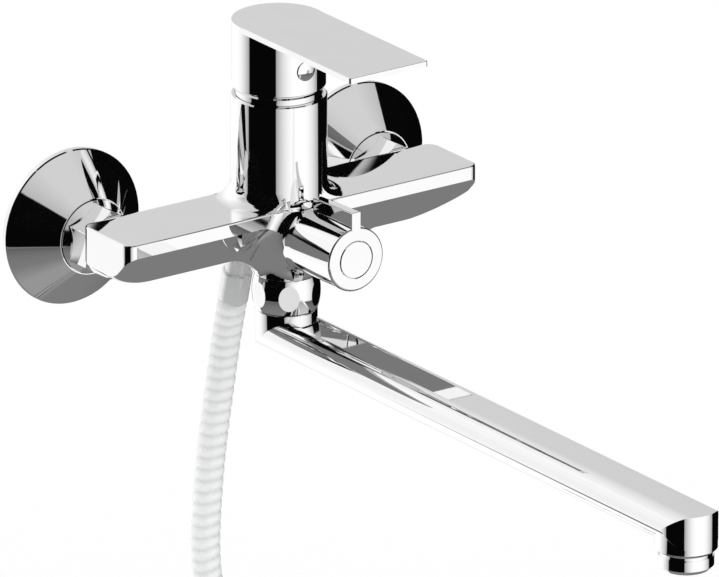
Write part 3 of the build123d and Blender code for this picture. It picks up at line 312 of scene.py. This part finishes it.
def crossed_edges(axis, axes, value, number):
    """Where the surface crosses the grid's edges along this axis.

    Gives the crossings, the numbers of the four cells round each edge, in order, and whether the
    edge leaves the body there.
    """
    order = (axis, (axis + 1) % 3, (axis + 2) % 3)
    value = numpy.moveaxis(value, order, (0, 1, 2))
    cells = numpy.moveaxis(number, order, (0, 1, 2))
    inside = value < 0
    near, far = inside[:-1, 1:-1, 1:-1], inside[1:, 1:-1, 1:-1]
    i, j, k = numpy.nonzero(near != far)
    loops = numpy.stack([cells[i, j, k], cells[i, j + 1, k], cells[i, j + 1, k + 1], cells[i, j, k + 1]],
                        axis=1)
    near_value, far_value = value[i, j + 1, k + 1], value[i + 1, j + 1, k + 1]
    crossings = numpy.zeros((len(i), 3))
    for one, index in zip(order, (i, j + 1, k + 1)):
        crossings[:, one] = axes[one][index]
    crossings[:, axis] += near_value / (near_value - far_value) * (axes[axis][1] - axes[axis][0])
    return crossings, loops, near[i, j, k]


def skin(distance, shows, low, high, cell):
    """Quads over the surface where distance is 0, sharp at its edges: points, quads and corner normals.

    Each cell that the surface crosses gets one point, where the planes that touch the surface at its
    crossings of the cell's edges meet best. Each edge that it crosses gets one quad.
    """
    axes = [numpy.arange(a, b + cell, cell) for a, b in zip(low, high)]
    value = distance(*numpy.meshgrid(*axes, indexing="ij"))
    size = [n - 1 for n in value.shape]
    filled = sum((value[i:i + size[0], j:j + size[1], k:k + size[2]] < 0).astype(int)
                 for i in (0, 1) for j in (0, 1) for k in (0, 1))
    crossed = (filled > 0) & (filled < 8)
    count = crossed.sum()
    number = numpy.full(size, -1)
    number[crossed] = numpy.arange(count)
    centres = numpy.stack([axis[i] for axis, i in zip(axes, numpy.nonzero(crossed))], axis=1) + cell / 2

    # least squares: each plane pulls the point onto it, and a weak spring holds it near their middle
    planes, offsets = numpy.zeros((count, 3, 3)), numpy.zeros((count, 3))
    total, seen = numpy.zeros((count, 3)), numpy.zeros(count)
    quads = []
    for axis in range(3):
        crossings, loops, leaves = crossed_edges(axis, axes, value, number)
        normals = slope_of(distance, crossings)
        for owners in loops.T:
            numpy.add.at(planes, owners, normals[:, :, None] * normals[:, None, :])
            numpy.add.at(offsets, owners, normals * (normals * crossings).sum(axis=1)[:, None])
            numpy.add.at(total, owners, crossings)
            numpy.add.at(seen, owners, 1)
        quads.append(numpy.where(leaves[:, None], loops, loops[:, ::-1]))
    middle = numpy.where(seen[:, None] > 0, total / numpy.maximum(seen, 1)[:, None], centres)
    points = numpy.linalg.solve(planes + SPRING * numpy.eye(3),
                                (offsets + SPRING * middle)[:, :, None])[:, :, 0]
    points = numpy.clip(points, centres - CELL_REACH * cell, centres + CELL_REACH * cell)

    quads = numpy.concatenate(quads)
    quads = quads[shows(*points[quads].mean(axis=1).T)]
    used, quads = numpy.unique(quads, return_inverse=True)
    points, quads = points[used], quads.reshape(-1, 4)
    corners = points[quads]
    inward = corners + NORMAL_INSET * (corners.mean(axis=1)[:, None, :] - corners)
    normals = slope_of(distance, inward.reshape(-1, 3)).reshape(-1, 4, 3)
    return points, quads, normals


def body_shell(name, casting):
    """The faces of the casting that stay, with the skin."""
    mesh = casting.data
    corner_normals = [tuple(n.vector) for n in mesh.corner_normals]
    vertices = [tuple(v.co) for v in mesh.vertices]
    faces, normals = [], []
    for polygon in mesh.polygons:
        x, y, z = polygon.center / MM
        if casting_shows(x, y, z - AXIS_Z):
            faces.append(tuple(polygon.vertices))
            normals.extend(corner_normals[i] for i in polygon.loop_indices)
    low = (-BAR_HALF - SKIN_MARGIN, KNOB_BOSS_FRONT_Y - CUT_MARGIN, SPOUT_BOSS_FOOT_Z - CUT_MARGIN)
    high = (BAR_HALF + SKIN_MARGIN, BAR_REAR_Y + SKIN_MARGIN, BAR_TOP_Z + TOWER_HOLLOW + SKIN_MARGIN)
    points, quads, quad_normals = skin(body_distance, skin_shows, low, high, SKIN_CELL)
    faces.extend(tuple(quad) for quad in (quads + len(vertices)).tolist())
    vertices.extend(tuple(at(*point)) for point in points)
    normals.extend(quad_normals.reshape(-1, 3).tolist())
    shell = bpy.data.meshes.new(name)
    shell.from_pydata(vertices, [], faces)
    shell.polygons.foreach_set("use_smooth", [True] * len(faces))
    shell.normals_split_custom_set(normals)
    piece = bpy.data.objects.new(name, shell)
    scene.collection.objects.link(piece)
    return piece


body = body_shell("body_shell", nodes["body_casting"])
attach(body, "faucet")
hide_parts("body_casting")


# --- materials ----------------------------------------------------------------------------------
NOISE_LOW, NOISE_HIGH = 0.3, 0.7
MIX_FACTOR, MIX_A, MIX_B, MIX_RESULT = 0, 6, 7, 2       # a colour Mix node's sockets


def shader_node(look, kind, **values):
    """A new node of a material, its sockets set by name."""
    made = look.node_tree.nodes.new(kind)
    for socket, value in values.items():
        made.inputs[socket.replace("_", " ")].default_value = value
    return made


def noise(look, size, detail=2.0):
    """Random values from 0 to 1 in patches of this many mm."""
    place = shader_node(look, "ShaderNodeTexCoord")
    made = shader_node(look, "ShaderNodeTexNoise", Scale=1 / (size * MM), Detail=detail)
    look.node_tree.links.new(place.outputs["Object"], made.inputs["Vector"])
    return made.outputs["Fac"]


def spread(look, value, low, high):
    """From low to high as a noise value goes through its usual range."""
    made = shader_node(look, "ShaderNodeMapRange", From_Min=NOISE_LOW, From_Max=NOISE_HIGH,
                       To_Min=low, To_Max=high)
    look.node_tree.links.new(value, made.inputs["Value"])
    return made.outputs["Result"]


def tinted(look, value, colour, other):
    """colour where value is 0 and other where it is 1. Each is a colour or a node's output."""
    made = shader_node(look, "ShaderNodeMix")
    made.data_type = "RGBA"
    look.node_tree.links.new(value, made.inputs[MIX_FACTOR])
    for socket, given in ((MIX_A, colour), (MIX_B, other)):
        if isinstance(given, tuple):
            made.inputs[socket].default_value = (*given, 1.0)
        else:
            look.node_tree.links.new(given, made.inputs[socket])
    return made.outputs[MIX_RESULT]


def raised(look, height, depth, below=None):
    """A normal that rises by depth, in mm, where height is 1."""
    made = shader_node(look, "ShaderNodeBump", Distance=depth * MM)
    look.node_tree.links.new(height, made.inputs["Height"])
    if below is not None:
        look.node_tree.links.new(below, made.inputs["Normal"])
    return made.outputs["Normal"]


def material(name, colour, worn, metallic, roughness, patch, grain, depth):
    """A finish that varies: two colours and two roughnesses in patches, over a fine grain.

    patch and grain are the sizes of the patches and of the grain, and depth is how deep the grain
    is, all in mm.
    """
    look = bpy.data.materials.new(name)
    look.use_nodes = True
    shader = look.node_tree.nodes["Principled BSDF"]
    shader.inputs["Metallic"].default_value = metallic
    patches = noise(look, patch, 4.0)
    links = look.node_tree.links
    links.new(tinted(look, spread(look, patches, 0.0, 1.0), colour, worn), shader.inputs["Base Color"])
    links.new(spread(look, patches, *roughness), shader.inputs["Roughness"])
    links.new(raised(look, noise(look, grain), depth), shader.inputs["Normal"])
    return look


def stripes(look, size, lean):
    """Bands this many mm across, their direction given by the scale of each axis."""
    place = shader_node(look, "ShaderNodeTexCoord")
    turned = shader_node(look, "ShaderNodeMapping", Scale=lean)
    made = shader_node(look, "ShaderNodeTexWave", Scale=1 / (size * MM), Distortion=1.5, Detail=1.0)
    look.node_tree.links.new(place.outputs["Object"], turned.inputs["Vector"])
    look.node_tree.links.new(turned.outputs["Vector"], made.inputs["Vector"])
    return made.outputs["Fac"]


def add_relief(look, height, depth):
    """More relief over a finish's grain."""
    shader = look.node_tree.nodes["Principled BSDF"]
    grain_normal = shader.inputs["Normal"].links[0].from_socket
    look.node_tree.links.new(raised(look, height, depth, grain_normal), shader.inputs["Normal"])


# name: colour, worn colour, metallic, roughness, patch, grain and depth, as material() has them
FINISHES = {
    "chrome": ((0.935, 0.935, 0.94), (0.915, 0.915, 0.92), 1.0, (0.012, 0.035), 14.0, 6.0, 0.0015),
    "satin": ((0.92, 0.925, 0.93), (0.88, 0.885, 0.89), 0.45, (0.20, 0.26), 6.0, 2.0, 0.002),
    "hose_metal": ((0.96, 0.965, 0.965), (0.93, 0.935, 0.935), 0.06, (0.24, 0.32), 6.0, 2.0, 0.003),
    "brass": ((0.70, 0.50, 0.22), (0.58, 0.40, 0.17), 1.0, (0.24, 0.38), 3.0, 0.3, 0.004),
    "steel": ((0.64, 0.64, 0.63), (0.55, 0.55, 0.54), 1.0, (0.20, 0.32), 2.0, 0.3, 0.003),
    "rubber": ((0.018, 0.018, 0.019), (0.032, 0.032, 0.031), 0.0, (0.50, 0.70), 2.0, 0.25, 0.010),
    "white_plastic": ((0.82, 0.82, 0.80), (0.76, 0.755, 0.72), 0.0, (0.34, 0.46), 3.0, 0.3, 0.004),
    "ceramic": ((0.90, 0.89, 0.86), (0.84, 0.82, 0.78), 0.0, (0.10, 0.20), 3.0, 0.2, 0.002),
    "strap": ((0.028, 0.028, 0.03), (0.05, 0.05, 0.05), 0.0, (0.45, 0.62), 3.0, 0.3, 0.008),
}
looks = {name: material(name, *finish) for name, finish in FINISHES.items()}
# the marks of turning and drawing, and the strap's weave: size in mm, direction, depth in mm
RELIEF = (("brass", 0.5, (0.0, 0.0, 1.0), 0.006), ("steel", 0.4, (0.0, 1.0, 0.0), 0.004),
          ("strap", 0.8, (1.0, 0.0, 1.0), 0.08))
for name, size, lean, depth in RELIEF:
    add_relief(looks[name], stripes(looks[name], size, lean), depth)

# painted shade in the hose's grooves: they are coloured darker than its ridges
GROOVE_SHADE = (0.76, 0.77, 0.775)
hose_look = looks["hose_metal"]
groove = shader_node(hose_look, "ShaderNodeAttribute")
groove.attribute_name = "groove"
hose_colour = hose_look.node_tree.nodes["Principled BSDF"].inputs["Base Color"]
shaded_grooves = tinted(hose_look, groove.outputs["Fac"], hose_colour.links[0].from_socket, GROOVE_SHADE)
hose_look.node_tree.links.new(shaded_grooves, hose_colour)

# the slots whose finish has another name, and the nodes that are plated or dulled unlike their slot
SLOT_FINISH = {"plug_plastic": "chrome", "hose": "hose_metal", "tie": "strap"}
NODE_FINISH = {"cartridge_nut": "chrome", "union_left": "chrome", "union_right": "chrome",
               "tail_ring": "chrome", "hose_end_ferrule": "satin", "hose_ferrule": "satin"}
for part in frame["record"]["subparts"]:
    slot = part["material_slot"]
    node = nodes[part["node"]]
    node.data.materials.clear()
    node.data.materials.append(looks[NODE_FINISH.get(part["node"], SLOT_FINISH.get(slot, slot))])
body.data.materials.append(looks["chrome"])
hose.data.materials.append(hose_look)
hose.visible_glossy = False
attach(hose, "faucet")
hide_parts("hose", "hose_coil")

# --- studio -------------------------------------------------------------------------------------
# Metal sees a studio of large cards, far away: white cards all round with two black flags in front
# of them, a grey ceiling, a black zenith and a dark floor. Everything else, and the camera, sees
# plain white.
WHITE, CEILING, FLOOR, BLACK = 1.10, 0.68, 0.215, 0.002
# Places are in degrees of azimuth, which is 0 straight out from the wall and grows to the right, and
# of height over the horizon. "Behind" is the side of the wall.
LEFT_FLAG_REAR, LEFT_FLAG_FRONT, RIGHT_FLAG_FRONT, RIGHT_FLAG_REAR = -112.0, -39.4, 71.0, 137.0
FLAG_LEAN, FLAG_FOOT = 0.13, -26.0
CARD_FADE = 50.0                    # a card is dimmer up to this far from a flag
CARD_LOSS, REAR_CARD_LOSS, REAR_CARD = 0.66, 0.42, 105.0
CEILING_FRONT, CEILING_BEHIND, CEILING_NEAR = 24.0, 42.0, 0.68
FLOOR_FRONT, FLOOR_BEHIND = -26.0, -44.0
ZENITH_FRONT, ZENITH_BEHIND = 61.0, 66.5
BEHIND, BEHIND_WIDTH = 140.0, 30.0

world = bpy.data.worlds.new("studio")
scene.world = world
world.use_nodes = True
tree = world.node_tree


def math_node(operation, *values):
    """The result of a Math node. Each value is a number or another result."""
    node = tree.nodes.new("ShaderNodeMath")
    node.operation = operation
    for socket, value in zip(node.inputs, values):
        if isinstance(value, (int, float)):
            socket.default_value = value
        else:
            tree.links.new(value, socket)
    return node.outputs[0]


def product(*values):
    result = values[0]
    for value in values[1:]:
        result = math_node("MULTIPLY", result, value)
    return result


def plus(value, other):
    return math_node("ADD", value, other)


def minus(value, other):
    return math_node("SUBTRACT", value, other)


def blend(below, above, amount):
    """below where amount is 0, above where it is 1."""
    return plus(product(below, minus(1.0, amount)), product(above, amount))


def edge(value, place, width):
    """0 below place and 1 above it, smooth over this width."""
    node = tree.nodes.new("ShaderNodeMapRange")
    node.interpolation_type = "SMOOTHSTEP"
    tree.links.new(value, node.inputs["Value"])
    node.inputs["From Min"].default_value = place - width / 2
    node.inputs["From Max"].default_value = place + width / 2
    return node.outputs[0]


def share(value, low, high):
    """0 below low, 1 above high, straight between them."""
    result = math_node("DIVIDE", minus(value, low), high - low)
    result.node.use_clamp = True
    return result


def card_light(distance, loss):
    """How bright a white card is this many degrees from the edge of a flag in front of it."""
    rest = minus(1.0, share(distance, 0.0, CARD_FADE))
    return minus(1.0, product(loss, rest, rest))


coordinates = tree.nodes.new("ShaderNodeTexCoord")
separate = tree.nodes.new("ShaderNodeSeparateXYZ")
tree.links.new(coordinates.outputs["Generated"], separate.inputs[0])
dir_x, dir_y, dir_z = separate.outputs
DEGREES = 180 / math.pi
azimuth = product(math_node("ARCTAN2", dir_x, product(dir_y, -1.0)), DEGREES)
height = product(math_node("ARCSINE", dir_z), DEGREES)
off_axis = math_node("ABSOLUTE", azimuth)
behind = edge(off_axis, BEHIND, BEHIND_WIDTH)

# the cards, dimmer beside the flags, and high up at the right behind the wall
left_lean = plus(azimuth, product(height, -FLAG_LEAN))
from_left_flag = math_node("MAXIMUM", minus(left_lean, LEFT_FLAG_FRONT), minus(LEFT_FLAG_REAR, azimuth))
from_right_flag = math_node("MAXIMUM", minus(RIGHT_FLAG_FRONT + 1, azimuth), minus(azimuth, RIGHT_FLAG_REAR))
right_loss = blend(CARD_LOSS, REAR_CARD_LOSS, math_node("GREATER_THAN", azimuth, REAR_CARD))
cards = product(WHITE, card_light(from_left_flag, CARD_LOSS), card_light(from_right_flag, right_loss))
dim = product(share(height, 0.0, 20.0), share(azimuth, 120.0, 130.0),
              minus(1.0, share(azimuth, 165.0, 180.0)))
cards = product(cards, blend(1.0, 0.885, dim))

# the ceiling: its edge is sharp between the flags and soft behind
ceiling_front = product(CEILING, blend(CEILING_NEAR, 1.0, share(height, CEILING_FRONT, 50.0)))
seen = blend(cards, blend(ceiling_front, CEILING, behind),
             blend(edge(height, CEILING_FRONT, 6.0), edge(height, CEILING_BEHIND, 36.0), behind))

# the floor: it starts just below the horizon in front, and lower behind, where the wall's card stands
floor_light = product(FLOOR, minus(1.0, math_node("EXPONENT", product(plus(height, 20.0), 0.11))))
ahead = minus(1.0, edge(off_axis, 60.0, 40.0))
straight_down = share(minus(0.0, height), 48.0, 66.0)
floor_light = product(floor_light, blend(1.0, 1.5, product(ahead, straight_down)))
floor_edge = blend(FLOOR_FRONT, FLOOR_BEHIND, edge(math_node("ABSOLUTE", plus(azimuth, 4.0)), 149.0, 12.0))
seen = blend(floor_light, seen, edge(minus(height, floor_edge), 0.0, 2.0))

# the flags, whose edges lean a little, and the zenith
left_rear = minus(LEFT_FLAG_REAR, product(math_node("MAXIMUM", height, 0.0), 0.2))
left_flag = product(edge(minus(azimuth, left_rear), 0.0, 3.0),
                    minus(1.0, edge(left_lean, LEFT_FLAG_FRONT, 1.0)), edge(height, FLAG_FOOT + 0.5, 2.0))
right_rear = math_node("MINIMUM", plus(product(height, 0.1), RIGHT_FLAG_REAR),
                       plus(product(height, -0.75), RIGHT_FLAG_REAR + 17))
right_flag = product(edge(azimuth, RIGHT_FLAG_FRONT, 1.0),
                     minus(1.0, edge(minus(azimuth, right_rear), 0.0, 3.0)), edge(height, FLAG_FOOT, 2.0))
zenith = edge(minus(height, blend(ZENITH_FRONT, ZENITH_BEHIND, behind)), 0.0, 3.0)
for flag in (left_flag, right_flag, zenith):
    seen = blend(seen, BLACK, flag)
paths = tree.nodes.new("ShaderNodeLightPath")
level = blend(1.0, seen, paths.outputs["Is Glossy Ray"])
tree.links.new(level, tree.nodes["Background"].inputs["Color"])


# --- floor --------------------------------------------------------------------------------------
# plain white from above, clear from below, and not seen by the metal, whose floor is the studio's
FLOOR_SIZE = 30.0
FLOOR_GAP = 0.004                   # below the object's lowest point
floor_mesh = bpy.data.meshes.new("floor")
floor_z = cad_low.z - FLOOR_GAP
corners = [(x * FLOOR_SIZE, y * FLOOR_SIZE, floor_z) for x, y in ((-1, -1), (1, -1), (1, 1), (-1, 1))]
floor_mesh.from_pydata(corners, [], [(0, 1, 2, 3)])
floor = bpy.data.objects.new("floor", floor_mesh)
scene.collection.objects.link(floor)
floor.visible_glossy = False
floor_look = bpy.data.materials.new("floor")
floor_look.use_nodes = True
floor_nodes, floor_links = floor_look.node_tree.nodes, floor_look.node_tree.links
floor_nodes.remove(floor_nodes["Principled BSDF"])
mixed = floor_nodes.new("ShaderNodeMixShader")
sides = floor_nodes.new("ShaderNodeNewGeometry")
above = shader_node(floor_look, "ShaderNodeBsdfDiffuse", Color=(1, 1, 1, 1))
below = floor_nodes.new("ShaderNodeBsdfTransparent")
for output, socket in zip((sides.outputs["Backfacing"], above.outputs[0], below.outputs[0]), mixed.inputs):
    floor_links.new(output, socket)
floor_links.new(mixed.outputs[0], floor_nodes["Material Output"].inputs["Surface"])
floor_mesh.materials.append(floor_look)
